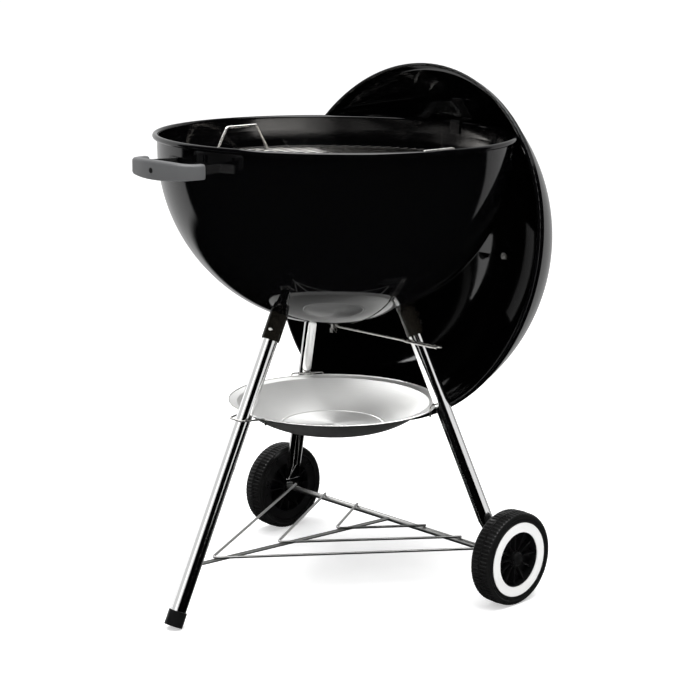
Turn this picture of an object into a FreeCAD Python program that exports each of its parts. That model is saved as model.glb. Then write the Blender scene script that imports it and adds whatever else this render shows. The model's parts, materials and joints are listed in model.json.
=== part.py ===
"""Kettle charcoal grill: bowl on three legs, two wheels, ash catcher, rack and a lid hung at the rear.

Everything is drawn about the bowl's upright axis, with the floor at z = 0, the front leg and the
carrying handle towards -Y, and the axle and the hung lid towards +Y. The last step moves the whole
grill along Y, so that the origin is the middle of its footprint box.
"""
import FreeCAD, Part
import os
from math import atan2, cos, degrees, hypot, radians, sin, sqrt, tan

Vector = FreeCAD.Vector
X_AXIS = Vector(1, 0, 0)
Y_AXIS = Vector(0, 1, 0)
Z_AXIS = Vector(0, 0, 1)
ORIGIN = Vector(0, 0, 0)
FAR = 400.0            # longer than any cutting tool has to be

# ---- bowl ----
BOWL_R = 279.2         # outer radius of the wall
SHEET = 1.6            # enamelled steel sheet of the bowl and the lid
RIM_Z = 736.4          # height of the rolled rim's centre
RIM_R = 282.2
RIM_BEAD = 4.3
BOWL_STRAIGHT = 20.0   # upright wall under the rim
BOWL_CENTRE = Vector(0, 0, RIM_Z - BOWL_STRAIGHT)
VENT_COUNT = 3
VENT_IN, VENT_OUT = 30.0, 84.0
VENT_WIDTH = 40.0      # degrees about the bowl's axis
VENT_FIRST = 90.0

# ---- ash sweeper ----
SHAFT_R = 4.0
SHAFT_FIT = 0.06
BLADE_GAP = 0.7
BLADE_T = 1.3
BLADE_OUT = 92.0
BLADE_WIDTH = 50.0
BLADE_LEAD = 60.0      # degrees from a vent's middle to its blade's middle, vents open
LEVER_Z = 430.0
LEVER_WIRE = 1.9
LEVER_AZ = 2.0
LEVER_LOOP_FROM, LEVER_LOOP_TO = 150.0, 228.0

# ---- legs ----
LEG_R = 12.3
LEG_WALL = 1.5
SOCKET_R = 14.6
SOCKET_BORE = 12.4
SOCKET_TOP = 62.0      # socket tool's length, trimmed by the bowl
LEG_INTO_SOCKET = 32.0
JOIN_R, JOIN_Z = 136.5, 425.5
REAR_AZ = 28.7
REAR_AHEAD = 2.5       # the rear legs' lines pass this far in front of the axle
FRONT_LEAN = 0.473     # outward run for each unit of drop
FOOT_Z = 4.6           # centre of the foot cap's end
FOOT_CAP_R = 14.6
FOOT_CAP_LENGTH = 24.0
BUTTON_R = 3.4
BUTTON_FIT = 0.06
BUTTON_UP = 15.0       # along the leg, from the socket's lower edge
BUTTON_TURN = 30.0     # degrees round the leg from straight outward
BUTTON_PROUD = 2.6

# ---- wheels and axle ----
WHEEL_R = 76.2
WHEEL_IN, WHEEL_OUT = 253.0, 289.6
AXLE_R = 4.8
AXLE_FIT = 0.06
AXLE_Y, AXLE_Z = 135.0, WHEEL_R
AXLE_END = 284.0
RING_IN, RING_OUT = 44.9, 60.3
PADDLE_X, PADDLE_T, PADDLE_W = 247.0, 5.0, 32.0
PADDLE_TOP, PADDLE_BOTTOM = 94.0, 50.0

# ---- rack ----
SPINE_R = 3.0
SPINE_FRONT = Vector(0, -278.3, 92.0)
SPINE_REAR = Vector(0, AXLE_Y - AXLE_R - 0.2, 77.0)
RACK_WIRE = 2.15
RACK_VEES = {"outer": (-258.0, 240.0), "middle": (-121.0, 163.0), "inner": (7.5, 82.0)}

# ---- ash catcher ----
ASH_R, ASH_Z = 170.0, 308.6
ASH_LIP = 1.5
ASH_SHEET = 1.2
ASH_FLOOR_Z, ASH_FLOOR_R = 267.6, 86.0
CLIP_WIRE = 1.5

# ---- grates ----
GRATE_R, GRATE_Z = 264.0, 684.0
GRATE_RING = 2.5
GRATE_ROD = 2.0
GRATE_PITCH = 15.0
COAL_R, COAL_Z = 211.0, 543.4
COAL_RING = 3.0
COAL_ROD = 2.6
COAL_PITCH = 24.0
TAB_GAP = 0.4
LOOP_X, LOOP_FOOT, LOOP_TOP = 225.0, 57.0, 32.0
LOOP_Z = 732.0

# ---- carrying handle ----
HANDLE_Z = 710.5
STRAP_T, STRAP_W = 3.0, 13.0

# ---- lid, drawn closed and level about its own axis, then hung ----
LID_R = 292.9          # centre of the rolled edge
LID_BEAD = 2.6
LID_SKIRT = 12.0
LID_DOME_R = 288.5
LID_H = 214.0
LID_TILT = 11.2        # the hung lid leans back this far from upright
LID_Y, LID_Z = 150.5, 550.0
HOOK_W, HOOK_T = 21.0, 2.0
DAMPER_OFF = 120.0     # from the lid's axis
DAMPER_R = 35.0
DAMPER_HOLE, DAMPER_PITCH_R = 7.5, 21.0
POST_X = 52.0
LID_GRIP_Z = 252.0


def polar(radius, azimuth, z):
    angle = radians(azimuth)
    return Vector(radius * cos(angle), radius * sin(angle), z)


def rod(start, end, radius):
    return Part.makeCylinder(radius, (end - start).Length, start, end - start)


def unit(vector):
    return Vector(vector).normalize()


def path_with_bends(points, bend):
    """Straight runs joined by tangent arcs of one radius."""
    edges = []
    start = points[0]
    for before, corner, after in zip(points, points[1:], points[2:]):
        into, out = unit(corner - before), unit(after - corner)
        half_turn = into.getAngle(out) / 2
        first = corner - into * (bend * tan(half_turn))
        last = corner + out * (bend * tan(half_turn))
        middle = corner + unit(out - into) * (bend / cos(half_turn) - bend)
        edges.append(Part.LineSegment(start, first).toShape())
        edges.append(Part.Arc(first, middle, last).toShape())
        start = last
    edges.append(Part.LineSegment(start, points[-1]).toShape())
    return Part.Wire(edges)


def bent_wire(points, radius, bend):
    section = Part.Wire(Part.makeCircle(radius, points[0], points[1] - points[0]))
    return path_with_bends(points, bend).makePipeShell([section], True, False)


def bent_strip(points, bend, thickness, width, across):
    """Flat bar, its width along the direction called across."""
    side = unit((points[1] - points[0]).cross(across)) * (thickness / 2)
    half = unit(across) * (width / 2)
    corners = [side + half, half - side, (side + half) * -1, side - half]
    corners = [points[0] + corner for corner in corners]
    section = Part.makePolygon(corners + corners[:1])
    return path_with_bends(points, bend).makePipeShell([section], True, False)


def ball(centre, radius):
    return Part.makeSphere(radius, centre)


def polygon_spun(points):
    """Solid of revolution about Z from (radius, height) corners."""
    corners = [Vector(r, 0, z) for r, z in points]
    return Part.Face(Part.makePolygon(corners + corners[:1])).revolve(ORIGIN, Z_AXIS, 360)


def torus(centre, ring, bead):
    return Part.makeTorus(ring, bead, centre, Z_AXIS)


def sector(inner, outer, middle, width, z_low, z_high):
    """Upright prism over a sector of a ring."""
    first, last = middle - width / 2, middle + width / 2
    outside = [polar(outer, azimuth, z_low) for azimuth in (first, middle, last)]
    inside = [polar(inner, azimuth, z_low) for azimuth in (last, middle, first)]
    edges = [
        Part.Arc(*outside), Part.LineSegment(outside[-1], inside[0]),
        Part.Arc(*inside), Part.LineSegment(inside[-1], outside[0]),
    ]
    plan = Part.Face(Part.Wire([edge.toShape() for edge in edges]))
    return plan.extrude(Vector(0, 0, z_high - z_low))


def mirrored(shape):
    return shape.mirror(ORIGIN, X_AXIS)


def turned(shape, axis, angle, about=ORIGIN):
    copy = shape.copy()
    copy.rotate(about, axis, angle)
    return copy


def hexagon(across, z_low, z_high):
    corners = [polar(across / sqrt(3), 60 * k, z_low) for k in range(6)]
    return Part.Face(Part.makePolygon(corners + corners[:1])).extrude(Vector(0, 0, z_high - z_low))


# ---------------------------------------------------------------- bowl

def cup(radius, top):
    """Half ball with an upright wall, filled."""
    lower = ball(BOWL_CENTRE, radius).common(Part.makeBox(
        2 * FAR, 2 * FAR, FAR, BOWL_CENTRE + Vector(-FAR, -FAR, -FAR)))
    return lower.fuse(Part.makeCylinder(radius, top - BOWL_CENTRE.z, BOWL_CENTRE))


def pole_z():
    """Lowest point of the bowl's outside."""
    return BOWL_CENTRE.z - BOWL_R


def bowl():
    shell = cup(BOWL_R, RIM_Z).cut(cup(BOWL_R - SHEET, RIM_Z))
    shell = shell.fuse(torus(Vector(0, 0, RIM_Z), RIM_R, RIM_BEAD))
    below, above = pole_z() - 60, pole_z() + 60
    cutters = [Part.makeCylinder(SHAFT_R + SHAFT_FIT, above - below, Vector(0, 0, below))]
    for k in range(VENT_COUNT):
        middle = VENT_FIRST + 360 / VENT_COUNT * k
        cutters.append(sector(VENT_IN, VENT_OUT, middle, VENT_WIDTH, below, above))
    return shell.cut(cutters).removeSplitter()


def bracket_tabs(inner, top, drop, width):
    """Four wedge-shaped shelf tabs welded to the inside of the bowl."""
    outer = BOWL_R + 20
    profile = [Vector(r, -width / 2, z) for r, z in ((inner, top), (outer, top), (outer, top - drop))]
    wedge = Part.Face(Part.makePolygon(profile + profile[:1])).extrude(Vector(0, width, 0))
    wedge = wedge.common(ball(BOWL_CENTRE, BOWL_R - SHEET - 0.1))
    return Part.makeCompound([turned(wedge, Z_AXIS, 45 + 90 * k) for k in range(4)])


# ---------------------------------------------------------------- ash sweeper

def sweeper_blades():
    outer = BOWL_R - SHEET - BLADE_GAP
    shell = ball(BOWL_CENTRE, outer).cut(ball(BOWL_CENTRE, outer - BLADE_T))
    floor_z = pole_z()
    plan = Part.makeCylinder(VENT_IN - 2, 60, Vector(0, 0, floor_z))
    for k in range(VENT_COUNT):
        middle = VENT_FIRST + BLADE_LEAD + 360 / VENT_COUNT * k
        plan = plan.fuse(sector(VENT_IN - 12, BLADE_OUT, middle, BLADE_WIDTH, floor_z, floor_z + 60))
    return shell.common(plan).cut(Part.makeCylinder(SHAFT_R, 60, Vector(0, 0, floor_z)))


def sweeper_shaft():
    pole = pole_z()
    shaft = Part.makeCylinder(SHAFT_R, 23, Vector(0, 0, pole - 15))
    collar = Part.makeCylinder(9, 4, Vector(0, 0, pole - 4.6))
    return shaft.fuse(collar)


def sweeper_nuts():
    pole = pole_z()
    blade_top = pole + SHEET + BLADE_GAP + BLADE_T
    upper = hexagon(13, blade_top + 0.1, blade_top + 4)
    lower = hexagon(11, pole - 18, pole - 10.5)
    bore = Part.makeCylinder(SHAFT_R, 60, Vector(0, 0, pole - 30))
    return Part.makeCompound([upper.cut(bore), lower.cut(bore)])


def sweeper_lever():
    """One wire out from the shaft, its end folded back into a narrow finger loop."""
    side = 4.6
    points = [
        Vector(SHAFT_R + 0.1, 0, LEVER_Z),
        Vector(LEVER_LOOP_FROM, 0, LEVER_Z),
        Vector(LEVER_LOOP_FROM + 12, -side, LEVER_Z),
        Vector(LEVER_LOOP_TO, -side, LEVER_Z),
        Vector(LEVER_LOOP_TO, side, LEVER_Z),
        Vector(LEVER_LOOP_FROM + 6, side, LEVER_Z),
    ]
    return turned(bent_wire(points, LEVER_WIRE, 4.0), Z_AXIS, LEVER_AZ)


# ---------------------------------------------------------------- legs

def leg_line(name):
    """Where a leg leaves its socket, and the way it points down and outward."""
    if name == "front":
        return Vector(0, -JOIN_R, JOIN_Z), unit(Vector(0, -FRONT_LEAN, -1))
    join = polar(JOIN_R, REAR_AZ, JOIN_Z)
    return join, unit(Vector(PADDLE_X + 2, AXLE_Y - REAR_AHEAD, AXLE_Z) - join)


def outward_square(name, turn):
    """Square to the leg, turned round it from straight outward."""
    join, down = leg_line(name)
    radial = unit(Vector(join.x, join.y, 0))
    square = unit(radial - down * radial.dot(down))
    return FreeCAD.Rotation(down * -1, turn).multVec(square)


def button_line(name):
    join, down = leg_line(name)
    centre = join - down * BUTTON_UP
    return centre, outward_square(name, BUTTON_TURN)


def button_hole(name, radius):
    centre, out = button_line(name)
    return Part.makeCylinder(radius, SOCKET_R + 4, centre, out)


def leg_socket(name):
    join, down = leg_line(name)
    tube = Part.makeCylinder(SOCKET_R, SOCKET_TOP, join, down * -1)
    tube = tube.cut(Part.makeCylinder(SOCKET_BORE, SOCKET_TOP + 2, join + down, down * -1))
    tube = tube.cut(ball(BOWL_CENTRE, BOWL_R + 0.05))
    return tube.cut(button_hole(name, BUTTON_R + BUTTON_FIT))


def leg_tube(name, length):
    join, down = leg_line(name)
    top = join - down * LEG_INTO_SOCKET
    whole = length + LEG_INTO_SOCKET
    tube = Part.makeCylinder(LEG_R, whole, top, down)
    tube = tube.cut(Part.makeCylinder(LEG_R - LEG_WALL, whole + 2, top - down, down))
    return tube.cut(button_hole(name, BUTTON_R + BUTTON_FIT))


def front_leg_length():
    join, down = leg_line("front")
    return (join.z - FOOT_Z - 6) / -down.z


def leg_front():
    return leg_tube("front", front_leg_length())


def foot_cap():
    """Plastic cup on the front leg, with a small flat ground into it where it meets the floor."""
    join, down = leg_line("front")
    end = join + down * ((join.z - FOOT_Z) / -down.z)
    cap = Part.makeCylinder(FOOT_CAP_R, FOOT_CAP_LENGTH, end, down * -1)
    bore_depth = FOOT_CAP_LENGTH - (end - join).Length + front_leg_length()
    cap = cap.cut(Part.makeCylinder(LEG_R, bore_depth + 1, end - down * (FOOT_CAP_LENGTH + 1), down))
    return cap.common(Part.makeBox(FAR, FAR, FAR, Vector(-FAR / 2, -FAR * 1.2, 0)))


def slot_wire(centre, length, width, along, normal):
    """Stadium outline: length between the centres of its round ends."""
    along, across = unit(along), unit(normal.cross(along))
    right, left = centre + along * (length / 2), centre - along * (length / 2)
    half = across * (width / 2)
    return Part.Wire([
        Part.LineSegment(left + half, right + half).toShape(),
        Part.Arc(right + half, right + along * (width / 2), right - half).toShape(),
        Part.LineSegment(right - half, left - half).toShape(),
        Part.Arc(left - half, left - along * (width / 2), left + half).toShape(),
    ])


def leg_rear():
    """Tube whose lower end is pressed flat into an upright plate that takes the axle."""
    join, down = leg_line("rear")
    tube_length = (join.z - 132.0) / -down.z
    tube = leg_tube("rear", tube_length)
    tube_end = join + down * tube_length
    across = unit(Y_AXIS - down * Y_AXIS.dot(down))
    round_wire = slot_wire(tube_end, 0.4, 2 * LEG_R - 0.8, across, down * -1)
    plate_top = Vector(PADDLE_X, AXLE_Y, PADDLE_TOP)
    flat_wire = slot_wire(plate_top, PADDLE_W - PADDLE_T - 0.4, PADDLE_T - 0.4, Y_AXIS, Z_AXIS)
    neck = Part.makeLoft([round_wire, flat_wire], True, True)
    corner = PADDLE_BOTTOM + PADDLE_W / 2
    plate = Part.makeBox(PADDLE_T, PADDLE_W, PADDLE_TOP - corner,
                         Vector(PADDLE_X - PADDLE_T / 2, AXLE_Y - PADDLE_W / 2, corner))
    end = Part.makeCylinder(PADDLE_W / 2, PADDLE_T, Vector(PADDLE_X - PADDLE_T / 2, AXLE_Y, corner), X_AXIS)
    hole = Part.makeCylinder(AXLE_R, 40, Vector(PADDLE_X - 20, AXLE_Y, AXLE_Z), X_AXIS)
    return tube.fuse([neck, plate, end]).cut(hole)


def leg_button(name):
    centre, out = button_line(name)
    length = SOCKET_R + BUTTON_PROUD - 7.0
    pin = Part.makeCylinder(BUTTON_R, length - 1.2, centre + out * 7.0, out)
    nose = Part.makeCone(BUTTON_R, BUTTON_R - 1.2, 1.2, centre + out * (7.0 + length - 1.2), out)
    return pin.fuse(nose)


def socket_rivets():
    """One round rivet head on each socket, above its button."""
    heads = []
    for name in ("front", "rear"):
        join, down = leg_line(name)
        out = outward_square(name, BUTTON_TURN + 8)
        seat = join - down * 31.0
        shank = Part.makeCylinder(5.2, 3.4, seat + out * (SOCKET_R - 1.0), out)
        body = shank.cut(Part.makeCylinder(SOCKET_R, 40, seat + down * 20, down * -1))
        heads.append(body)
        if name == "rear":
            heads.append(mirrored(body))
    return Part.makeCompound(heads)


# ---------------------------------------------------------------- axle, wheels, rack

def axle():
    return Part.makeCylinder(AXLE_R, 2 * AXLE_END, Vector(-AXLE_END, AXLE_Y, AXLE_Z), X_AXIS)


def wheel_solid(points):
    """Solid of revolution about the axle from (distance outward from the middle, radius) corners."""
    corners = [Vector(x, AXLE_Y + r, AXLE_Z) for x, r in points]
    face = Part.Face(Part.makePolygon(corners + corners[:1]))
    return face.revolve(Vector(0, AXLE_Y, AXLE_Z), X_AXIS, 360)


def tyre():
    shoulder = 4.0
    return wheel_solid([
        (WHEEL_IN, RING_OUT + 0.6), (WHEEL_OUT, RING_OUT + 0.6), (WHEEL_OUT, WHEEL_R - shoulder),
        (WHEEL_OUT - shoulder, WHEEL_R - 0.6), ((WHEEL_IN + WHEEL_OUT) / 2, WHEEL_R),
        (WHEEL_IN + shoulder, WHEEL_R - 0.6), (WHEEL_IN, WHEEL_R - shoulder),
    ])


def wheel_ring():
    return wheel_solid([(WHEEL_OUT - 1.6, RING_IN), (WHEEL_OUT + 1.0, RING_IN),
                        (WHEEL_OUT + 1.0, RING_OUT), (WHEEL_OUT - 1.6, RING_OUT)])


def wheel_hub():
    """Barrel, web, boss and twelve ribs on each side of the web."""
    middle = (WHEEL_IN + WHEEL_OUT) / 2
    bore = AXLE_R + AXLE_FIT
    boss = 13.0
    hub = wheel_solid([
        (WHEEL_IN + 1.5, bore), (WHEEL_IN + 1.5, boss), (middle - 2, boss), (middle - 2, RING_IN),
        (WHEEL_IN + 2, RING_IN), (WHEEL_IN + 2, RING_OUT + 0.5), (WHEEL_OUT - 1.8, RING_OUT + 0.5),
        (WHEEL_OUT - 1.8, RING_IN), (middle + 2, RING_IN), (middle + 2, boss), (WHEEL_OUT - 7, boss),
        (WHEEL_OUT - 7, bore),
    ])
    rib = Part.makeBox(WHEEL_OUT - WHEEL_IN - 12, RING_IN - boss + 2, 2.4,
                       Vector(WHEEL_IN + 4, AXLE_Y + boss - 1, AXLE_Z - 1.2))
    ribs = [turned(rib, X_AXIS, 30 * k, Vector(0, AXLE_Y, AXLE_Z)) for k in range(12)]
    return hub.fuse(ribs).removeSplitter()


def hub_cap():
    """Push-on cap that keeps the wheel on the axle."""
    inner = WHEEL_OUT - 6.6
    cap = wheel_solid([(inner, 0), (inner, 11.5), (inner + 4, 11.5), (inner + 6.4, 9), (inner + 7.2, 0)])
    return cap.cut(axle())


def axle_washer():
    near = PADDLE_X + PADDLE_T / 2 + 0.1
    far = near + 1.6
    return wheel_solid([(near, AXLE_R), (near, 10), (far, 10), (far, AXLE_R)])


def rack_spine():
    return rod(SPINE_FRONT, SPINE_REAR, SPINE_R)


def spine_height(y):
    share = (y - SPINE_FRONT.y) / (SPINE_REAR.y - SPINE_FRONT.y)
    return SPINE_FRONT.z + share * (SPINE_REAR.z - SPINE_FRONT.z)


def rack_vee(name):
    """Wire bent to a V: its point lies on the spine and its ends lie on the axle."""
    apex_y, end_x = RACK_VEES[name]
    apex = Vector(0, apex_y, spine_height(apex_y) + SPINE_R + RACK_WIRE + 0.1)
    end_z = AXLE_Z + AXLE_R + RACK_WIRE + 0.1
    ends = [Vector(x, AXLE_Y + 2, end_z) for x in (-end_x, end_x)]
    return bent_wire([ends[0], apex, ends[1]], RACK_WIRE, 7.0)


# ---------------------------------------------------------------- ash catcher

def ash_catcher():
    """Spun dish: flat floor inside a raised ring, a sloping wall, a flat brim and a rolled lip."""
    def skin(drop):
        floor = ASH_FLOOR_Z - drop
        ridge_in = Vector(ASH_FLOOR_R - 5, 0, floor)
        ridge_top = Vector(ASH_FLOOR_R - 2.5, 0, floor + 1.2)
        ridge_out = Vector(ASH_FLOOR_R, 0, floor)
        wall = Vector(126, 0, floor + 15.6)
        wall_top = Vector(ASH_R - 14, 0, ASH_Z - 2.6 - drop)
        return [
            Part.LineSegment(Vector(0, 0, floor), ridge_in), Part.Arc(ridge_in, ridge_top, ridge_out),
            Part.Arc(ridge_out, wall, wall_top), Part.LineSegment(wall_top, Vector(ASH_R, 0, ASH_Z - drop)),
        ]
    upper = [edge.toShape() for edge in skin(0)]
    lower = [edge.toShape() for edge in skin(ASH_SHEET)]
    ends = [
        Part.LineSegment(Vector(0, 0, ASH_FLOOR_Z), Vector(0, 0, ASH_FLOOR_Z - ASH_SHEET)).toShape(),
        Part.LineSegment(Vector(ASH_R, 0, ASH_Z), Vector(ASH_R, 0, ASH_Z - ASH_SHEET)).toShape(),
    ]
    wire = Part.Wire(Part.__sortEdges__(upper + lower + ends))
    dish = Part.Face(wire).revolve(ORIGIN, Z_AXIS, 360)
    return dish.fuse(torus(Vector(0, 0, ASH_Z - ASH_SHEET / 2), ASH_R, ASH_LIP))


def ash_clip(name):
    """Spring wire held at a leg, its two ends hooked down over the dish's lip.

    The front one goes round the outside of its leg; the rear ones lie along the inside of theirs,
    clear of the hung lid.
    """
    join, down = leg_line(name)
    high = ASH_Z + (1 if name == "front" else 4.5)
    at_rim = join + down * ((join.z - high) / -down.z)
    reach = hypot(at_rim.x, at_rim.y)
    azimuth = degrees(atan2(at_rim.y, at_rim.x))
    thick = LEG_R / -down.z + CLIP_WIRE
    hook = 28.0
    lip = sqrt(ASH_R ** 2 - hook ** 2) + ASH_LIP + CLIP_WIRE + 0.4
    if name == "front":
        hold, side = reach + thick + 1.2, LEG_R + CLIP_WIRE + 0.6
    else:
        hold, side = reach - thick - 0.6, LEG_R - 3
    half = [Vector(lip, hook, ASH_Z - 9), Vector(lip, hook, high), Vector(hold, side, high)]
    other = [Vector(p.x, -p.y, p.z) for p in reversed(half)]
    return turned(bent_wire(half + other, CLIP_WIRE, 4.5), Z_AXIS, azimuth)


# ---------------------------------------------------------------- grates

def rods_across(radius, z, thickness, pitch):
    """Parallel rods along Y that fill a circle."""
    count = int((radius - 1) / pitch)
    rods = []
    for k in range(-count, count + 1):
        half = sqrt(radius ** 2 - (k * pitch) ** 2)
        rods.append(rod(Vector(k * pitch, -half, z), Vector(k * pitch, half, z), thickness))
    return Part.makeCompound(rods)


def cooking_grate_rods():
    return rods_across(GRATE_R + 6, GRATE_Z + GRATE_RING + GRATE_ROD, GRATE_ROD, GRATE_PITCH)


def cooking_grate_ring():
    return torus(Vector(0, 0, GRATE_Z), GRATE_R, GRATE_RING)


def cooking_grate_loop():
    foot = GRATE_Z + GRATE_RING + 2 * GRATE_ROD + 1.2
    points = [Vector(LOOP_X, -LOOP_FOOT, foot), Vector(LOOP_X, -LOOP_TOP, LOOP_Z),
              Vector(LOOP_X, LOOP_TOP, LOOP_Z), Vector(LOOP_X, LOOP_FOOT, foot)]
    return bent_wire(points, 2.2, 6.0)


def charcoal_grate_rods():
    return rods_across(COAL_R, COAL_Z + COAL_RING + COAL_ROD, COAL_ROD, COAL_PITCH)


def charcoal_grate_ring():
    return torus(Vector(0, 0, COAL_Z), COAL_R, COAL_RING)


# ---------------------------------------------------------------- carrying handle

def strap_points():
    """Plan of the strap from one foot on the bowl, round through the grip, to the other foot."""
    on_wall = BOWL_R + STRAP_T / 2 + 0.6
    half = [polar(on_wall, -74.6, HANDLE_Z), polar(on_wall, -80.6, HANDLE_Z),
            Vector(64, -333, HANDLE_Z), Vector(48, -346, HANDLE_Z)]
    middle = [Vector(0, -359.5, HANDLE_Z)]
    return half + middle + [Vector(-p.x, p.y, p.z) for p in reversed(half)]


def handle_strap():
    return bent_strip(strap_points(), 7.0, STRAP_T, STRAP_W, Z_AXIS)


def handle_grip():
    """Moulded grip, bowed in plan and along its lower edge, with ends that turn back to the bowl."""
    low, high = HANDLE_Z - 16.0, HANDLE_Z + 15.0
    def at(x, y):
        return Vector(x, y, low)
    edges = [
        Part.LineSegment(at(-73, -324), at(-73, -338)),
        Part.Arc(at(-73, -338), at(-69, -347), at(-58, -351)),
        Part.Arc(at(-58, -351), at(0, -366.5), at(58, -351)),
        Part.Arc(at(58, -351), at(69, -347), at(73, -338)),
        Part.LineSegment(at(73, -338), at(73, -324)),
        Part.LineSegment(at(73, -324), at(57, -324)),
        Part.Arc(at(57, -324), at(54, -333), at(46, -338)),
        Part.Arc(at(46, -338), at(0, -351.5), at(-46, -338)),
        Part.Arc(at(-46, -338), at(-54, -333), at(-57, -324)),
        Part.LineSegment(at(-57, -324), at(-73, -324)),
    ]
    plan = Part.Face(Part.Wire([edge.toShape() for edge in edges])).extrude(Vector(0, 0, high - low))
    top = HANDLE_Z + 14.0
    bottom = HANDLE_Z - 15.0
    below = [Vector(-90, -372, bottom + 4), Vector(0, -372, bottom), Vector(90, -372, bottom + 4)]
    above = [Vector(90, -372, top - 2), Vector(0, -372, top), Vector(-90, -372, top - 2)]
    side = [
        Part.Arc(*below), Part.LineSegment(below[-1], above[0]),
        Part.Arc(*above), Part.LineSegment(above[-1], below[0]),
    ]
    bowed = Part.Face(Part.Wire([edge.toShape() for edge in side])).extrude(Vector(0, 60, 0))
    channel = bent_strip(strap_points(), 7.0, STRAP_T + 0.2, STRAP_W + 0.2, Z_AXIS)
    screw_hole = Part.makeCylinder(2.8, 8.0, Vector(0, -368, HANDLE_Z - 1), Y_AXIS)
    return plan.common(bowed).cut([channel, screw_hole])


# ---------------------------------------------------------------- lid

def hung(shape):
    """From closed and level about its own axis to hung behind the bowl."""
    copy = turned(shape, X_AXIS, -(90 + LID_TILT))
    copy.translate(Vector(0, LID_Y, LID_Z))
    return copy


def dome_radius():
    rise = LID_H - LID_SKIRT - SHEET
    return (LID_DOME_R ** 2 + rise ** 2) / (2 * rise)


def dome_centre():
    return Vector(0, 0, LID_H - dome_radius())


def cap_above(radius, z):
    box = Part.makeBox(2 * FAR, 2 * FAR, FAR, Vector(-FAR, -FAR, z))
    return ball(dome_centre(), radius).common(box)


def damper_frame(shape):
    """From the top of the dome to the damper's place on it."""
    angle = degrees(atan2(DAMPER_OFF, sqrt(dome_radius() ** 2 - DAMPER_OFF ** 2)))
    return turned(shape, X_AXIS, angle, dome_centre())


def damper_holes():
    centres = [polar(DAMPER_PITCH_R, 45 + 90 * k, LID_H - 30) for k in range(4)]
    return [Part.makeCylinder(DAMPER_HOLE, 60, centre) for centre in centres]


def lid_shell():
    step_z = LID_SKIRT
    skirt_r = LID_R - 0.8
    skirt = polygon_spun([
        (skirt_r - SHEET, 0), (skirt_r, 0), (skirt_r, step_z + SHEET),
        (LID_DOME_R - SHEET - 1, step_z + SHEET), (LID_DOME_R - SHEET - 1, step_z),
        (skirt_r - SHEET, step_z),
    ])
    dome = cap_above(dome_radius(), step_z + SHEET - 0.4).cut(ball(dome_centre(), dome_radius() - SHEET))
    shell = dome.fuse([skirt, torus(ORIGIN, LID_R, LID_BEAD)])
    holes = [damper_frame(hole) for hole in damper_holes()]
    holes.append(damper_frame(Part.makeCylinder(3.0, 60, Vector(0, 0, LID_H - 30))))
    posts = [Part.makeCylinder(3.0, 60, Vector(x, 0, LID_H - 40)) for x in (-POST_X, POST_X)]
    return shell.cut(holes + posts).removeSplitter()


def lid_damper():
    outer = dome_radius() + 0.4
    disc = ball(dome_centre(), outer + 1.2).cut(ball(dome_centre(), outer))
    disc = disc.common(Part.makeCylinder(DAMPER_R, 80, Vector(0, 0, LID_H - 40)))
    tab_foot = LID_H + 1.2 - (DAMPER_R - 4) ** 2 / (2 * outer)
    tab = Part.makeBox(16, 2, 15, Vector(-8, DAMPER_R - 6, tab_foot - 0.6))
    disc = disc.fuse(tab).cut(damper_holes() + [Part.makeCylinder(3.06, 80, Vector(0, 0, LID_H - 40))])
    return damper_frame(disc)


def damper_rivet():
    shank = Part.makeCylinder(3.0, 7.0, Vector(0, 0, LID_H - 4.0))
    outside = Part.makeCone(7.5, 5.0, 2.2, Vector(0, 0, LID_H + 2.2))
    inside = Part.makeCone(5.0, 7.0, 1.6, Vector(0, 0, LID_H - SHEET - 1.8))
    return damper_frame(shank.fuse([outside, inside]))


def lid_posts():
    """Two threaded studs through the dome, with a nut inside and a spacer sleeve outside."""
    posts = []
    for x in (-POST_X, POST_X):
        skin = dome_centre().z + sqrt((dome_radius() - SHEET) ** 2 - x ** 2)
        stud = Part.makeCylinder(3.0, LID_GRIP_Z + 6 - skin + 8, Vector(x, 0, skin - 8))
        nut = hexagon(11, 0, 5.0)
        nut.translate(Vector(x, 0, skin - 6.6))
        sleeve = Part.makeCylinder(6.0, LID_GRIP_Z - 0.1 - skin - 6.0, Vector(x, 0, skin + 6.0))
        posts.append(stud.fuse([nut, sleeve]))
    return Part.makeCompound(posts)


def lid_heat_shield():
    """Thin bent plate under the grip, notched round the two sleeves."""
    points = [Vector(-92, 0, 218), Vector(-74, 0, 232), Vector(74, 0, 232), Vector(92, 0, 218)]
    plate = bent_strip(points, 8.0, 1.2, 62.0, Y_AXIS)
    bores = [Part.makeCylinder(6.1, 60, Vector(x, 0, 210)) for x in (-POST_X, POST_X)]
    return plate.cut(bores)


def lid_grip():
    """Long moulded grip, arched along its length."""
    base = LID_GRIP_Z
    edges = [
        Part.LineSegment(Vector(-82, -12, base - 6), Vector(-74, -12, base + 13)),
        Part.Arc(Vector(-74, -12, base + 13), Vector(0, -12, base + 20), Vector(74, -12, base + 13)),
        Part.LineSegment(Vector(74, -12, base + 13), Vector(82, -12, base - 6)),
        Part.LineSegment(Vector(82, -12, base - 6), Vector(66, -12, base)),
        Part.LineSegment(Vector(66, -12, base), Vector(-66, -12, base)),
        Part.LineSegment(Vector(-66, -12, base), Vector(-82, -12, base - 6)),
    ]
    bar = Part.Face(Part.Wire([edge.toShape() for edge in edges])).extrude(Vector(0, 24, 0))
    studs = [Part.makeCylinder(3.0, 40, Vector(x, 0, base - 34)) for x in (-POST_X, POST_X)]
    return bar.cut(studs)


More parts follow.
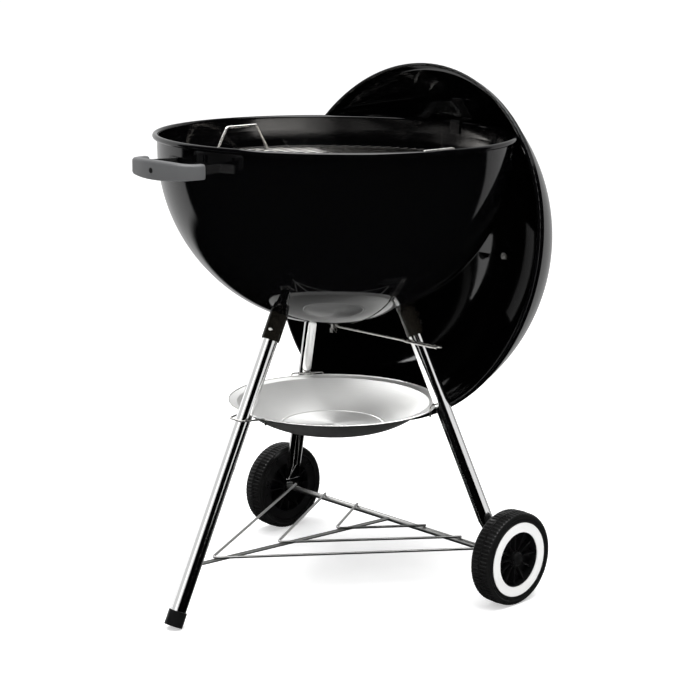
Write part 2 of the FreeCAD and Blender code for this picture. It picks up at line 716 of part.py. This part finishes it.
def lid_hook():
    """Strap riveted inside the dome that bends over the bowl's rear rim and down inside it."""
    over = RIM_Z + RIM_BEAD + HOOK_T / 2 + 0.5
    inside_y = RIM_R - RIM_BEAD - HOOK_T / 2 - 1.4
    centre = hung(Part.Vertex(dome_centre())).Point
    reach = dome_radius() - SHEET - HOOK_T / 2 - 0.4
    def on_dome(z):
        return Vector(0, centre.y + sqrt(reach ** 2 - (z - centre.z) ** 2), z)
    points = [on_dome(over + 36), on_dome(over + 19), on_dome(over), Vector(0, inside_y, over),
              Vector(0, inside_y, RIM_Z - 17)]
    return bent_strip(points, 2.5, HOOK_T, HOOK_W, X_AXIS)


# ---------------------------------------------------------------- all the nodes

def build():
    tab_top = GRATE_Z - GRATE_RING - TAB_GAP
    coal_tab_top = COAL_Z - COAL_RING - TAB_GAP
    nodes = {
        "bowl": bowl(),
        "cooking_grate_tabs": bracket_tabs(255, tab_top, 26, 16),
        "charcoal_grate_tabs": bracket_tabs(196, coal_tab_top, 28, 16),
        "sweeper_blades": sweeper_blades(),
        "sweeper_shaft": sweeper_shaft(),
        "sweeper_nuts": sweeper_nuts(),
        "sweeper_lever": sweeper_lever(),
        "leg_socket_front": leg_socket("front"),
        "leg_front": leg_front(),
        "foot_cap": foot_cap(),
        "leg_button_front": leg_button("front"),
        "socket_rivets": socket_rivets(),
        "axle": axle(),
        "rack_spine": rack_spine(),
        "ash_catcher": ash_catcher(),
        "ash_clip_front": ash_clip("front"),
        "cooking_grate_rods": cooking_grate_rods(),
        "cooking_grate_ring": cooking_grate_ring(),
        "charcoal_grate_rods": charcoal_grate_rods(),
        "charcoal_grate_ring": charcoal_grate_ring(),
        "handle_strap": handle_strap(),
        "handle_grip": handle_grip(),
        "lid_shell": hung(lid_shell()),
        "lid_damper": hung(lid_damper()),
        "lid_damper_rivet": hung(damper_rivet()),
        "lid_posts": hung(lid_posts()),
        "lid_heat_shield": hung(lid_heat_shield()),
        "lid_grip": hung(lid_grip()),
        "lid_hook": lid_hook(),
    }
    for name in RACK_VEES:
        nodes["rack_wire_" + name] = rack_vee(name)
    pairs = {
        "leg_socket_rear": leg_socket("rear"),
        "leg_rear": leg_rear(),
        "leg_button_rear": leg_button("rear"),
        "ash_clip_rear": ash_clip("rear"),
        "tyre": tyre(),
        "wheel_ring": wheel_ring(),
        "wheel_hub": wheel_hub(),
        "hub_cap": hub_cap(),
        "axle_washer": axle_washer(),
        "cooking_grate_loop": cooking_grate_loop(),
    }
    for name, right in pairs.items():
        nodes[name + "_right"] = right
        nodes[name + "_left"] = mirrored(right)
    return nodes


def main():
    nodes = build()
    box = Part.makeCompound(list(nodes.values())).optimalBoundingBox(False)
    shift = Vector(0, -(box.YMin + box.YMax) / 2, 0)
    os.makedirs("parts", exist_ok=True)
    for name, shape in nodes.items():
        shape.translate(shift)
        shape.exportStep("parts/%s.step" % name)
    print("nodes %d, bowl axis at y %.4f" % (len(nodes), shift.y))


main()
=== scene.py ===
"""Looks of the kettle grill: materials, finer wheels, handle grip and rolled rim, and its studio."""
import bpy
import bmesh
import json
from math import cos, pi, radians, sin
from mathutils import Matrix, Vector

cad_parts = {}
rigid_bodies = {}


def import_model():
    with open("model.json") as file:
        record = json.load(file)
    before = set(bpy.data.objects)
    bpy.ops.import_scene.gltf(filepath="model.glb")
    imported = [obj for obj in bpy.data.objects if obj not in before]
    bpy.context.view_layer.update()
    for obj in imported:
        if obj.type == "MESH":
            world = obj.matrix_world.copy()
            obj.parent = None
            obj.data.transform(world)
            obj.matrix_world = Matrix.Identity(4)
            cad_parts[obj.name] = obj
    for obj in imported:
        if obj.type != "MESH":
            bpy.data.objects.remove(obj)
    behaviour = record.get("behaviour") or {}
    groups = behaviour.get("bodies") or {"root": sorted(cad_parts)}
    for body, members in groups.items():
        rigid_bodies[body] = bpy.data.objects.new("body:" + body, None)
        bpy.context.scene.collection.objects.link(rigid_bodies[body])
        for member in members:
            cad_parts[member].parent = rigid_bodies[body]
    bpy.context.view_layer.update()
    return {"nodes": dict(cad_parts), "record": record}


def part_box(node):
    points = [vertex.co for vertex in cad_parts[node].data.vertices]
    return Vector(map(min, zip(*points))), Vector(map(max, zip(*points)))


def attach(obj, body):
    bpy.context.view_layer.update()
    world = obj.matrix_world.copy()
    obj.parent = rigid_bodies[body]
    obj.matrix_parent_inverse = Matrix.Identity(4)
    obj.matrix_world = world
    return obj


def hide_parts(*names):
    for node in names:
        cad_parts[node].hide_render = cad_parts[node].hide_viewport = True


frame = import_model()
NODES = frame["nodes"]

# ---- places taken from the frame, in metres ----
BOWL_LOW, BOWL_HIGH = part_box("bowl")
BOWL_X = (BOWL_LOW.x + BOWL_HIGH.x) / 2
BOWL_Y = (BOWL_LOW.y + BOWL_HIGH.y) / 2
TYRE_LOW, TYRE_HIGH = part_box("tyre_right")
AXLE_Y = (TYRE_LOW.y + TYRE_HIGH.y) / 2
AXLE_Z = (TYRE_LOW.z + TYRE_HIGH.z) / 2
WHEEL_R = (TYRE_HIGH.z - TYRE_LOW.z) / 2


# ---------------------------------------------------------------- small helpers

def add_mesh(name, vertices, faces, smooth=True):
    mesh = bpy.data.meshes.new(name)
    mesh.from_pydata([tuple(v) for v in vertices], [], faces)
    mesh.update()
    piece = bpy.data.objects.new(name, mesh)
    bpy.context.scene.collection.objects.link(piece)
    if smooth:
        mesh.polygons.foreach_set("use_smooth", [True] * len(mesh.polygons))
    return piece


def finish_piece(piece, body, material, replaced=()):
    piece.data.materials.clear()
    piece.data.materials.append(material)
    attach(piece, body)
    if replaced:
        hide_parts(*replaced)
    return piece


# ---------------------------------------------------------------- materials

def new_material(name):
    material = bpy.data.materials.new(name)
    material.use_nodes = True
    nodes, links = material.node_tree.nodes, material.node_tree.links
    shader = nodes["Principled BSDF"]
    where = nodes.new("ShaderNodeTexCoord").outputs["Object"]
    return material, nodes, links, shader, where


def noise(nodes, links, where, scale, detail=3.0, stretch=None, roughness=0.55):
    if stretch is not None:
        mapping = nodes.new("ShaderNodeMapping")
        mapping.inputs["Scale"].default_value = stretch
        links.new(where, mapping.inputs["Vector"])
        where = mapping.outputs["Vector"]
    texture = nodes.new("ShaderNodeTexNoise")
    texture.inputs["Scale"].default_value = scale
    texture.inputs["Detail"].default_value = detail
    texture.inputs["Roughness"].default_value = roughness
    links.new(where, texture.inputs["Vector"])
    return texture.outputs["Fac"]


def spread(nodes, links, value, low, high, from_low=0.3, from_high=0.7):
    """Rescales a texture's value."""
    ramp = nodes.new("ShaderNodeMapRange")
    ramp.inputs["From Min"].default_value = from_low
    ramp.inputs["From Max"].default_value = from_high
    ramp.inputs["To Min"].default_value = low
    ramp.inputs["To Max"].default_value = high
    links.new(value, ramp.inputs["Value"])
    return ramp.outputs["Result"]


def mixed_colour(nodes, links, value, first, second):
    mix = nodes.new("ShaderNodeMix")
    mix.data_type = "RGBA"
    mix.inputs["A"].default_value = (*first, 1)
    mix.inputs["B"].default_value = (*second, 1)
    links.new(value, mix.inputs["Factor"])
    return mix.outputs["Result"]


def bump(nodes, links, shader, value, strength, distance):
    node = nodes.new("ShaderNodeBump")
    node.inputs["Strength"].default_value = strength
    node.inputs["Distance"].default_value = distance
    links.new(value, node.inputs["Height"])
    links.new(node.outputs["Normal"], shader.inputs["Normal"])


def enamel(name, dark, light, rough_low, rough_high):
    """Glossy fired enamel: slight orange peel, faint specks and dust."""
    material, nodes, links, shader, where = new_material(name)
    specks = spread(nodes, links, noise(nodes, links, where, 900, 1.0), 0, 1, 0.68, 0.76)
    links.new(mixed_colour(nodes, links, specks, dark, light), shader.inputs["Base Color"])
    film = noise(nodes, links, where, 14, 4.0)
    links.new(spread(nodes, links, film, rough_low, rough_high), shader.inputs["Roughness"])
    bump(nodes, links, shader, noise(nodes, links, where, 160, 2.0), 0.03, 0.0006)
    return material


def plastic(name, dark, light, rough_low, rough_high, grain=1400, depth=0.12):
    material, nodes, links, shader, where = new_material(name)
    patches = noise(nodes, links, where, 30, 4.0)
    links.new(mixed_colour(nodes, links, patches, dark, light), shader.inputs["Base Color"])
    links.new(spread(nodes, links, noise(nodes, links, where, 60), rough_low, rough_high),
              shader.inputs["Roughness"])
    bump(nodes, links, shader, noise(nodes, links, where, grain, 2.0), depth, 0.0003)
    return material


def metal(name, dark, light, rough_low, rough_high, along=None, grain=500, depth=0.05):
    """Bare or plated metal. Along is the direction of its drawing or brushing lines."""
    material, nodes, links, shader, where = new_material(name)
    shader.inputs["Metallic"].default_value = 1.0
    stretch = None
    if along is not None:
        turn = nodes.new("ShaderNodeMapping")
        turn.vector_type = "TEXTURE"
        turn.inputs["Rotation"].default_value = Vector(along).to_track_quat("Z", "Y").to_euler()
        links.new(where, turn.inputs["Vector"])
        where = turn.outputs["Vector"]
        stretch = (1, 1, 0.02)
    grains = noise(nodes, links, where, grain, 3.0, stretch)
    stains = noise(nodes, links, where, 18, 4.0)
    links.new(mixed_colour(nodes, links, stains, dark, light), shader.inputs["Base Color"])
    links.new(spread(nodes, links, grains, rough_low, rough_high), shader.inputs["Roughness"])
    bump(nodes, links, shader, grains, depth, 0.0002)
    return material


def spun_metal(name, centre, dark, light, rough_low, rough_high, anisotropy):
    """Sheet spun on a lathe: fine rings about an upright axis, and long soft streaks."""
    material, nodes, links, shader, where = new_material(name)
    shader.inputs["Metallic"].default_value = 1.0
    shader.inputs["Anisotropic"].default_value = anisotropy
    tangent = nodes.new("ShaderNodeTangent")
    tangent.direction_type = "RADIAL"
    tangent.axis = "Z"
    links.new(tangent.outputs["Tangent"], shader.inputs["Tangent"])
    local = nodes.new("ShaderNodeVectorMath")
    local.operation = "SUBTRACT"
    local.inputs[1].default_value = centre
    links.new(where, local.inputs[0])
    flat = nodes.new("ShaderNodeVectorMath")
    flat.operation = "MULTIPLY"
    flat.inputs[1].default_value = (1, 1, 0)
    links.new(local.outputs["Vector"], flat.inputs[0])
    radius = nodes.new("ShaderNodeVectorMath")
    radius.operation = "LENGTH"
    links.new(flat.outputs["Vector"], radius.inputs[0])
    rings = nodes.new("ShaderNodeTexNoise")
    rings.noise_dimensions = "1D"
    rings.inputs["Scale"].default_value = 900
    rings.inputs["Detail"].default_value = 4
    links.new(radius.outputs["Value"], rings.inputs["W"])
    stains = noise(nodes, links, where, 9, 4.0)
    links.new(mixed_colour(nodes, links, stains, dark, light), shader.inputs["Base Color"])
    links.new(spread(nodes, links, rings.outputs["Fac"], rough_low, rough_high),
              shader.inputs["Roughness"])
    bump(nodes, links, shader, rings.outputs["Fac"], 0.08, 0.0002)
    return material


LEG_LEANS = {
    "leg_front": Vector((0, 0.473, 1)),
    "leg_rear_right": Vector((-0.373, -0.194, 1)),
    "leg_rear_left": Vector((0.373, -0.194, 1)),
}
ENAMEL = enamel("black_enamel", (0.0012, 0.0012, 0.0014), (0.005, 0.005, 0.005), 0.03, 0.09)
SOCKET = enamel("socket_enamel", (0.010, 0.009, 0.007), (0.03, 0.026, 0.02), 0.10, 0.22)
STRAP = enamel("strap_enamel", (0.012, 0.012, 0.012), (0.03, 0.03, 0.03), 0.14, 0.28)
BLACK = plastic("black_plastic", (0.004, 0.004, 0.0045), (0.008, 0.008, 0.008), 0.26, 0.40)
RUBBER = plastic("rubber", (0.005, 0.005, 0.005), (0.010, 0.010, 0.010), 0.26, 0.42, 1100, 0.12)
WHITE = plastic("white_plastic", (0.78, 0.78, 0.77), (0.86, 0.86, 0.85), 0.28, 0.40, 900, 0.05)
GREY = plastic("grey_plastic", (0.082, 0.083, 0.085), (0.104, 0.105, 0.107), 0.34, 0.46, 1500, 0.10)
PLATED = metal("plated_steel", (0.50, 0.49, 0.47), (0.72, 0.71, 0.69), 0.16, 0.30)
SATIN = metal("satin_steel", (0.42, 0.42, 0.41), (0.58, 0.58, 0.57), 0.28, 0.42)
GRATE = metal("grate_steel", (0.62, 0.60, 0.57), (0.80, 0.78, 0.75), 0.16, 0.28)
COAL = metal("coal_grate_steel", (0.20, 0.19, 0.18), (0.34, 0.33, 0.31), 0.40, 0.60)
BLADES = metal("aluminised_steel", (0.34, 0.34, 0.33), (0.50, 0.50, 0.49), 0.30, 0.46)
SHEET = metal("brushed_aluminium", (0.60, 0.60, 0.59), (0.74, 0.74, 0.73), 0.26, 0.40, (1, 0, 0))
DISH = spun_metal("spun_aluminium", (BOWL_X, BOWL_Y, 0), (0.74, 0.74, 0.73), (0.84, 0.84, 0.83),
                  0.52, 0.68, 0.4)
TUBES = {name: metal("polished_" + name, (0.78, 0.78, 0.78), (0.90, 0.90, 0.90), 0.07, 0.15, lean)
         for name, lean in LEG_LEANS.items()}
BARE_METALS = (PLATED, SATIN, GRATE, COAL, BLADES, SHEET, DISH, *TUBES.values())
SLOT_MATERIAL = {
    "black_enamel": ENAMEL, "socket_steel": SOCKET, "black_plastic": BLACK, "white_plastic": WHITE,
    "grey_plastic": GREY, "plated_steel": PLATED, "satin_steel": SATIN, "grate_steel": GRATE,
    "coal_grate_steel": COAL, "aluminised_steel": BLADES, "brushed_aluminium": SHEET,
}


def dress_frame():
    """Every carried-over node gets its slot's material; a few get one of their own."""
    own = {"ash_catcher": DISH, "handle_strap": STRAP, "lid_hook": STRAP, **TUBES}
    for part in frame["record"]["subparts"]:
        node = NODES[part["node"]]
        material = own.get(part["node"]) or SLOT_MATERIAL[part["material_slot"]]
        node.data.materials.clear()
        node.data.materials.append(material)


# ---------------------------------------------------------------- wheels

TREAD_STEPS = 288
GROOVE_EVERY, GROOVE_WIDE = 4, 2      # steps of the tread's circle
GROOVE_DEPTH = 0.0013
TYRE_DEEP = 0.0151            # from the tread to the tyre's bore
TRIM_WIDE = 0.0154            # from the trim ring's outer edge to its bore
WHEEL_CREASE = radians(34)    # edges bent more than this are drawn sharp


def wheel_turning(name, sign, profile, cuts):
    """Closed section of (distance from the wheel's inner side, radius) turned about the axle.

    Cuts gives, for each point of the section, how deep the tread's grooves cut it."""
    start = TYRE_LOW.x
    vertices, faces = [], []
    count = len(profile)
    for k in range(TREAD_STEPS):
        angle = 2 * pi * k / TREAD_STEPS
        in_groove = k % GROOVE_EVERY < GROOVE_WIDE
        for (depth, radius), cut in zip(profile, cuts):
            reach = radius - (cut if in_groove else 0)
            vertices.append((sign * (start + depth), AXLE_Y + reach * cos(angle),
                             AXLE_Z + reach * sin(angle)))
        after = (k + 1) % TREAD_STEPS
        for i in range(count):
            j = (i + 1) % count
            face = (k * count + i, k * count + j, after * count + j, after * count + i)
            faces.append(face if sign > 0 else face[::-1])
    piece = add_mesh(name, vertices, faces)
    piece.data.set_sharp_from_angle(angle=WHEEL_CREASE)
    return piece


def tyre_section():
    """Tyre's section: rounded shoulders, two grooved bands, a plain line between, and a beaded wall."""
    width = TYRE_HIGH.x - TYRE_LOW.x
    bore = WHEEL_R - TYRE_DEEP
    middle = width / 2
    half = [
        (0.0, bore), (0.0, bore + 0.0012), (0.0007, bore + 0.0018), (0.0007, bore + 0.0062),
        (0.0, bore + 0.0070), (0.0, bore + 0.0094), (0.0007, bore + 0.0120), (0.0021, bore + 0.0136),
        (0.0040, bore + 0.0143), (0.0044, bore + 0.0144), (middle - 0.0022, WHEEL_R - 0.0002),
        (middle - 0.0018, WHEEL_R - 0.0014), (middle - 0.0014, WHEEL_R - 0.0014),
        (middle - 0.0010, WHEEL_R),
    ]
    half_cuts = [0, 0, 0, 0, 0, 0, 0, GROOVE_DEPTH * 0.4, GROOVE_DEPTH, GROOVE_DEPTH, GROOVE_DEPTH,
                 0, 0, 0]
    other = [(width - depth, radius) for depth, radius in reversed(half)]
    return half + other, half_cuts + half_cuts[::-1]


def ring_section():
    """White trim ring: a low crown with rounded edges."""
    low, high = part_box("wheel_ring_right")
    face = high.x - TYRE_LOW.x
    back = low.x - TYRE_LOW.x
    outer = (high.z - low.z) / 2
    inner = outer - TRIM_WIDE
    profile = [
        (back, inner), (back, outer), (face - 0.0008, outer), (face - 0.0003, outer - 0.0003),
        (face, outer - 0.0012), (face, (inner + outer) / 2), (face, inner + 0.0012),
        (face - 0.0003, inner + 0.0003), (face - 0.0008, inner),
    ]
    return profile, [0] * len(profile)


def wheels():
    for side, sign in (("right", 1), ("left", -1)):
        tyre = wheel_turning("tyre_tread_" + side, sign, *tyre_section())
        finish_piece(tyre, "wheel_" + side, RUBBER, ("tyre_" + side,))
        ring = wheel_turning("trim_ring_" + side, sign, *ring_section())
        finish_piece(ring, "wheel_" + side, WHITE, ("wheel_ring_" + side,))


# ---------------------------------------------------------------- the bowl's handle

GRIP_LOW, GRIP_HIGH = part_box("handle_grip")
GRIP_HALF = (GRIP_HIGH.x - GRIP_LOW.x) / 2
GRIP_STEPS = 72
GRIP_CORNER = 0.0045          # radius of the grip's long edges
CORNER_STEPS = 5
GRIP_THICK, GRIP_SWELL = 0.0072, 0.0007    # half thickness at the middle, and what the ends add
GRIP_RISE, GRIP_DROP = 0.0048, 0.0036     # how far its lower and upper edges close in at the ends
GRIP_CREASE = radians(50)
PLUG_STEPS = 40
PLUG_R, PLUG_FACE_R = 0.0042, 0.0040
PLUG_TOP, PLUG_EDGE, PLUG_DEEP = 0.00003, 0.0009, 0.0030    # behind the grip's face
PLUG_CREASE = radians(40)


def grip_path():
    """Points of the grip's middle line in plan: two returns to the bowl and a bow between them."""
    tip = GRIP_HALF - 0.008
    back, front = GRIP_HIGH.y, GRIP_LOW.y + 0.0073
    bend = Vector((tip, back - 0.0245, 0))
    shoulder = Vector((tip - 0.016, back - 0.0215 - 0.0065, 0))
    points = []
    for k in range(GRIP_STEPS // 6 + 1):
        t = k / (GRIP_STEPS // 6)
        start = Vector((tip, back, 0))
        corner = Vector((tip, back - 0.0195, 0))
        points.append((1 - t) ** 2 * start + 2 * t * (1 - t) * corner.lerp(bend, 0.2)
                      + t * t * shoulder)
    for k in range(1, GRIP_STEPS // 2 + 1):
        across = shoulder.x * (1 - k / (GRIP_STEPS // 2))
        fall = (across / shoulder.x) ** 2
        points.append(Vector((across, front + (shoulder.y - front) * fall, 0)))
    return points + [Vector((-p.x, p.y, 0)) for p in reversed(points[:-1])]


def grip_ring(middle, side_way, half_thick, low, high):
    """One rounded oblong cross-section, as points round the middle line."""
    ring = []
    half_tall = (high - low) / 2
    centre = (high + low) / 2
    for quarter in range(4):
        out = 1 if quarter in (0, 3) else -1
        up = 1 if quarter in (0, 1) else -1
        for k in range(CORNER_STEPS):
            angle = (quarter + k / (CORNER_STEPS - 1)) * pi / 2
            wide = out * (half_thick - GRIP_CORNER) + GRIP_CORNER * cos(angle)
            tall = up * (half_tall - GRIP_CORNER) + GRIP_CORNER * sin(angle)
            ring.append(middle + side_way * wide + Vector((0, 0, centre + tall)))
    return ring


def grip():
    path = grip_path()
    rings = []
    last = len(path) - 1
    for i, point in enumerate(path):
        ahead = (path[min(i + 1, last)] - path[max(i - 1, 0)]).normalized()
        side_way = Vector((ahead.y, -ahead.x, 0))
        bow = (point.x / GRIP_HALF) ** 2
        half_thick = GRIP_THICK + GRIP_SWELL * bow
        rings.append(grip_ring(point, side_way, half_thick, GRIP_LOW.z + GRIP_RISE * bow,
                               GRIP_HIGH.z - GRIP_DROP * bow))
    count = len(rings[0])
    vertices = [v for ring in rings for v in ring]
    faces = [list(range(count))]
    for i in range(last):
        for j in range(count):
            k = (j + 1) % count
            faces.append((i * count + k, i * count + j, (i + 1) * count + j, (i + 1) * count + k))
    faces.append([last * count + j for j in reversed(range(count))])
    piece = add_mesh("rounded_grip", vertices, faces)
    piece.data.set_sharp_from_angle(angle=GRIP_CREASE)
    finish_piece(piece, "cart", GREY, ("handle_grip",))


def grip_screw():
    """Dark plug over the screw in the middle of the grip's face."""
    height = (GRIP_LOW.z + GRIP_HIGH.z) / 2 - 0.0005
    face = GRIP_LOW.y
    section = [(PLUG_R, PLUG_EDGE), (PLUG_FACE_R, PLUG_TOP), (0.0, PLUG_TOP), (0.0, PLUG_DEEP),
               (PLUG_R, PLUG_DEEP)]
    vertices, faces = [], []
    for k in range(PLUG_STEPS):
        angle = 2 * pi * k / PLUG_STEPS
        for radius, depth in section:
            vertices.append((radius * cos(angle), face + depth, height + radius * sin(angle)))
        for i in range(len(section)):
            j = (i + 1) % len(section)
            after = (k + 1) % PLUG_STEPS
            faces.append((k * len(section) + i, k * len(section) + j,
                          after * len(section) + j, after * len(section) + i))
    mesh = bmesh.new()
    piece = add_mesh("grip_screw", vertices, faces)
    mesh.from_mesh(piece.data)
    bmesh.ops.remove_doubles(mesh, verts=mesh.verts, dist=1e-6)
    bmesh.ops.recalc_face_normals(mesh, faces=mesh.faces)
    mesh.to_mesh(piece.data)
    mesh.free()
    piece.data.set_sharp_from_angle(angle=PLUG_CREASE)
    finish_piece(piece, "cart", BLACK)


# ---------------------------------------------------------------- the bowl's rolled rim

RIM_STEPS, BEAD_STEPS = 320, 28
BEAD_R = 0.00435
BEAD_PROUD = 0.00004          # keeps it clear of the bowl's own bead


def rolled_rim():
    """Smooth bead all round the bowl's edge, over the bowl's own."""
    reach = (BOWL_HIGH.x - BOWL_LOW.x) / 2 - BEAD_R + BEAD_PROUD
    height = BOWL_HIGH.z - BEAD_R + BEAD_PROUD
    vertices, faces = [], []
    for k in range(RIM_STEPS):
        turn = 2 * pi * k / RIM_STEPS
        for j in range(BEAD_STEPS):
            angle = 2 * pi * j / BEAD_STEPS
            radius = reach + BEAD_R * cos(angle)
            vertices.append((BOWL_X + radius * cos(turn), BOWL_Y + radius * sin(turn),
                             height + BEAD_R * sin(angle)))
            after, up = (k + 1) % RIM_STEPS, (j + 1) % BEAD_STEPS
            faces.append((k * BEAD_STEPS + j, after * BEAD_STEPS + j, after * BEAD_STEPS + up,
                          k * BEAD_STEPS + up))
    finish_piece(add_mesh("rolled_rim", vertices, faces), "cart", ENAMEL)


# ---------------------------------------------------------------- studio

VIEW_AZIMUTH = radians(46.04)
VIEW_PITCH = radians(12.589)
VIEW_ROLL = radians(0.523)
EYE = Vector((2.1458, -2.0325, 1.0498))      # from the foot of the bowl's axis
LENS, SENSOR = 96.5, 36.0
FLOOR_GLOW = 0.50
BACKDROP_EDGE = 0.40        # cosine of the backdrop's half width
BACKDROP_LEFT, BACKDROP_RIGHT = 0.95, 0.55
FLOOR_HALF = 60.0
DISH_CARD = (1.4, 1.2, 10.0)     # width, height and brightness


def camera():
    data = bpy.data.cameras.new("camera")
    data.lens = LENS
    data.sensor_width = SENSOR
    eye = bpy.data.objects.new("camera", data)
    ahead = Vector((-sin(VIEW_AZIMUTH) * cos(VIEW_PITCH), cos(VIEW_AZIMUTH) * cos(VIEW_PITCH),
                    -sin(VIEW_PITCH)))
    turn = ahead.to_track_quat("-Z", "Y").to_matrix() @ Matrix.Rotation(VIEW_ROLL, 3, "Z")
    eye.matrix_world = Matrix.Translation(EYE + Vector((BOWL_X, BOWL_Y, 0))) @ turn.to_4x4()
    eye.data.clip_end = 100
    bpy.context.scene.collection.objects.link(eye)
    bpy.context.scene.camera = eye


def softbox(name, place, aim, width, height, brightness, in_reflections=True, only=None):
    data = bpy.data.lights.new(name, "AREA")
    data.shape = "RECTANGLE"
    data.size, data.size_y = width, height
    data.energy = brightness * width * height * pi
    lamp = bpy.data.objects.new(name, data)
    lamp.location = place
    lamp.rotation_euler = (Vector(aim) - Vector(place)).to_track_quat("-Z", "Y").to_euler()
    lamp.visible_camera = False
    lamp.visible_glossy = in_reflections
    if only is not None:
        lamp.light_linking.receiver_collection = only
    bpy.context.scene.collection.objects.link(lamp)


def pieces_of(name, materials):
    """A group of the pieces of some materials, for a light of their own."""
    group = bpy.data.collections.new(name)
    for piece in bpy.context.scene.objects:
        if piece.type == "MESH" and piece.data.materials and piece.data.materials[0] in materials:
            group.objects.link(piece)
    return group


def smooth_step(nodes, links, value, start, end, low=0.0, high=1.0):
    step = nodes.new("ShaderNodeMapRange")
    step.interpolation_type = "SMOOTHSTEP"
    step.inputs["From Min"].default_value = start
    step.inputs["From Max"].default_value = end
    step.inputs["To Min"].default_value = low
    step.inputs["To Max"].default_value = high
    links.new(value, step.inputs["Value"])
    return step.outputs["Result"]


def along(nodes, links, direction, axis):
    dot = nodes.new("ShaderNodeVectorMath")
    dot.operation = "DOT_PRODUCT"
    dot.inputs[1].default_value = axis
    links.new(direction, dot.inputs[0])
    return dot.outputs["Value"]


def product(nodes, links, first, second):
    times = nodes.new("ShaderNodeMath")
    times.operation = "MULTIPLY"
    links.new(first, times.inputs[0])
    links.new(second, times.inputs[1])
    return times.outputs["Value"]


def room():
    """Bright backdrop at the far side of the room, brighter to the left, and black flags elsewhere."""
    world = bpy.data.worlds.new("room")
    world.use_nodes = True
    bpy.context.scene.world = world
    nodes, links = world.node_tree.nodes, world.node_tree.links
    nodes.clear()
    out = nodes.new("ShaderNodeOutputWorld")
    direction = nodes.new("ShaderNodeTexCoord").outputs["Generated"]
    far = along(nodes, links, direction, (-sin(VIEW_AZIMUTH), cos(VIEW_AZIMUTH), 0))
    side = along(nodes, links, direction, (cos(VIEW_AZIMUTH), sin(VIEW_AZIMUTH), 0))
    height = along(nodes, links, direction, (0, 0, 1))
    sweep = smooth_step(nodes, links, far, BACKDROP_EDGE - 0.02, BACKDROP_EDGE + 0.03)
    level = smooth_step(nodes, links, side, -0.6, 0.6, BACKDROP_LEFT, BACKDROP_RIGHT)
    above = smooth_step(nodes, links, height, -0.48, -0.40)
    below = smooth_step(nodes, links, height, 0.5, 0.9, 1.0, 0.0)
    glow = product(nodes, links, product(nodes, links, sweep, level),
                   product(nodes, links, above, below))
    backdrop = nodes.new("ShaderNodeBackground")
    links.new(glow, backdrop.inputs["Strength"])
    seen = nodes.new("ShaderNodeBackground")
    seen.inputs["Color"].default_value = (1, 1, 1, 1)
    path = nodes.new("ShaderNodeLightPath")
    mix = nodes.new("ShaderNodeMixShader")
    links.new(path.outputs["Is Camera Ray"], mix.inputs["Fac"])
    links.new(backdrop.outputs["Background"], mix.inputs[1])
    links.new(seen.outputs["Background"], mix.inputs[2])
    links.new(mix.outputs["Shader"], out.inputs["Surface"])


def floor():
    corners = [(-FLOOR_HALF, -FLOOR_HALF, 0), (FLOOR_HALF, -FLOOR_HALF, 0),
               (FLOOR_HALF, FLOOR_HALF, 0), (-FLOOR_HALF, FLOOR_HALF, 0)]
    plane = add_mesh("floor", corners, [(0, 1, 2, 3)], smooth=False)
    material, nodes, links, shader, where = new_material("floor_paper")
    shader.inputs["Roughness"].default_value = 0.9
    tone = noise(nodes, links, where, 0.5, 2.0)
    links.new(mixed_colour(nodes, links, tone, (0.93, 0.93, 0.93), (0.95, 0.95, 0.95)),
              shader.inputs["Base Color"])
    shader.inputs["Specular IOR Level"].default_value = 0.0
    shader.inputs["Emission Color"].default_value = (1, 1, 1, 1)
    shader.inputs["Emission Strength"].default_value = FLOOR_GLOW
    plane.data.materials.append(material)
    plane.visible_glossy = False


def skylight(strength, spread_angle):
    """Even soft light from above that fills the whole floor."""
    data = bpy.data.lights.new("skylight", "SUN")
    data.energy = strength
    data.angle = radians(spread_angle)
    lamp = bpy.data.objects.new("skylight", data)
    lamp.rotation_euler = (radians(8), radians(-6), 0)
    lamp.visible_glossy = False
    bpy.context.scene.collection.objects.link(lamp)


def studio():
    bpy.context.scene.view_settings.view_transform = "Standard"
    camera()
    room()
    floor()
    skylight(1.6, 100)
    metal_pieces = pieces_of("bare_metal", BARE_METALS)
    grates = pieces_of("grates", (GRATE, COAL))
    dish = pieces_of("dish", (DISH,))
    softbox("left_wall", (-1.15, -1.64, 1.0), (0, 0, 0.7), 5.0, 2.0, 0.72, only=metal_pieces)
    softbox("front_card", (0.40, -2.15, 1.0), (0, 0, 0.7), 1.5, 2.0, 0.72, only=metal_pieces)
    softbox("right_wall", (1.87, 0.99, 0.8), (0, 0, 0.5), 2.7, 1.6, 0.85, only=metal_pieces)
    softbox("high_left", (-2.2, -0.1, 2.7), (0, 0, 0.7), 2.4, 2.0, 2.6, only=metal_pieces)
    softbox("high_back", (-2.0, 1.2, 2.2), (0, 0, 0.7), 2.8, 2.2, 4.5, only=grates)
    softbox("dish_left", (-1.6, -1.0, 1.35), (0, 0, 0.3), *DISH_CARD, only=dish)
    softbox("dish_right", (1.5, 0.9, 1.35), (0, 0, 0.3), *DISH_CARD, only=dish)
    softbox("dish_front", (0.5, -1.8, 1.35), (0, 0, 0.3), *DISH_CARD, only=dish)
    lid = bpy.data.collections.new("lid")
    lid.objects.link(NODES["lid_shell"])
    softbox("lid_glow", (-2.0, -2.6, 1.35), (0.15, 0.15, 0.5), 1.5, 1.9, 1.5, only=lid)
    softbox("overhead", (0.2, -0.3, 3.2), (0, 0, 0.4), 3.0, 3.0, 5.0)
    softbox("fill", (2.6, -3.0, 2.4), (0, 0, 0.4), 1.6, 1.6, 3.0, in_reflections=False)


# ---------------------------------------------------------------- all of it

dress_frame()
wheels()
grip()
grip_screw()
rolled_rim()
studio()
